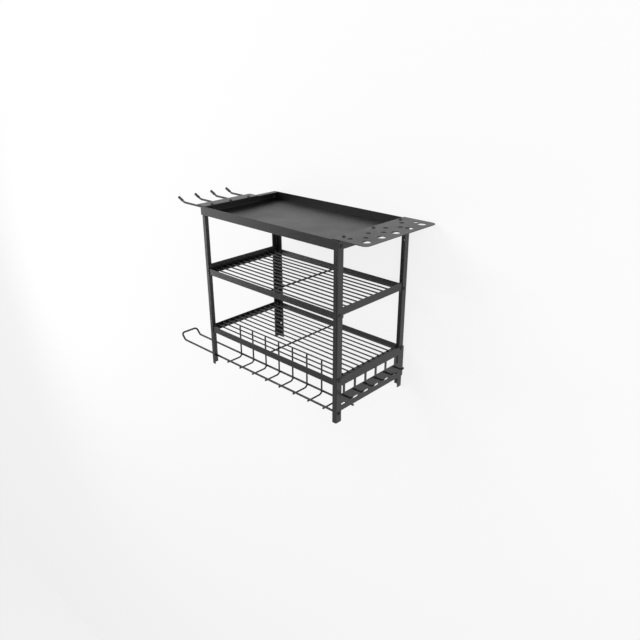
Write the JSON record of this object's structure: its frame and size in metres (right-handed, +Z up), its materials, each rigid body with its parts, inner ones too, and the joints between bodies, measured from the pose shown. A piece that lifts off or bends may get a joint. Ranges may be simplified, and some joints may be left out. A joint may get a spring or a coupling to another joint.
{
  "type": "wall mounted power tool rack",
  "caption": "Black steel wall rack with a top tray, wire shelves, a hanging wire ladder for drills, hammer prongs, a drilled tool plate and a pegged plier plate.",
  "frame": {"origin": "centre of the four wall screw holes, on the back face of the rear posts, which is the wall's face", "axes": "+X to the right seen from the front, +Y into the wall, +Z up"},
  "size_m": [0.6475, 0.2395, 0.4232],
  "materials": {
    "black_coat": "black powder coat, fine texture",
    "black_screw": "black oxide",
    "black_vinyl": "satin vinyl sleeve"
  },
  "bodies": {
    "root": {"drill_rack_cap_nut": "black_screw", "drill_rack_rod": "black_coat", "drill_rack_wire_1": "black_coat", "drill_rack_wire_2": "black_coat", "drill_rack_wire_3": "black_coat", "drill_rack_wire_4": "black_coat", "drill_rack_wire_5": "black_coat", "drill_rack_wire_6": "black_coat", "drill_rack_wire_7": "black_coat", "drill_rack_wire_8": "black_coat", "hammer_prong_1": "black_coat", "hammer_prong_2": "black_coat", "hammer_prong_3": "black_coat", "hammer_prong_4": "black_coat", "hammer_prong_sleeves": "black_vinyl", "hammer_rack_strip": "black_coat", "lower_shelf_back_rail": "black_coat", "lower_shelf_bars": "black_coat", "lower_shelf_cross_bars": "black_coat", "lower_shelf_front_rail": "black_coat", "lower_shelf_left_rail": "black_coat", "lower_shelf_right_rail": "black_coat", "middle_shelf_back_rail": "black_coat", "middle_shelf_bars": "black_coat", "middle_shelf_cross_bars": "black_coat", "middle_shelf_front_rail": "black_coat", "middle_shelf_left_rail": "black_coat", "middle_shelf_right_rail": "black_coat", "plier_peg_1": "black_coat", "plier_peg_2": "black_coat", "plier_peg_3": "black_coat", "plier_peg_4": "black_coat", "plier_peg_5": "black_coat", "plier_peg_6": "black_coat", "plier_rack_plate": "black_coat", "plier_rack_screws": "black_screw", "post_back_left": "black_coat", "post_back_right": "black_coat", "post_front_left": "black_coat", "post_front_right": "black_coat", "shelf_nuts": "black_screw", "shelf_screws": "black_screw", "side_rack_nuts": "black_screw", "side_rack_screws": "black_screw", "tool_plate": "black_coat", "top_tray": "black_coat", "tray_back_wall": "black_coat", "tray_front_wall": "black_coat", "tray_nuts": "black_screw", "tray_screws": "black_screw"}
  },
  "joints": []
}
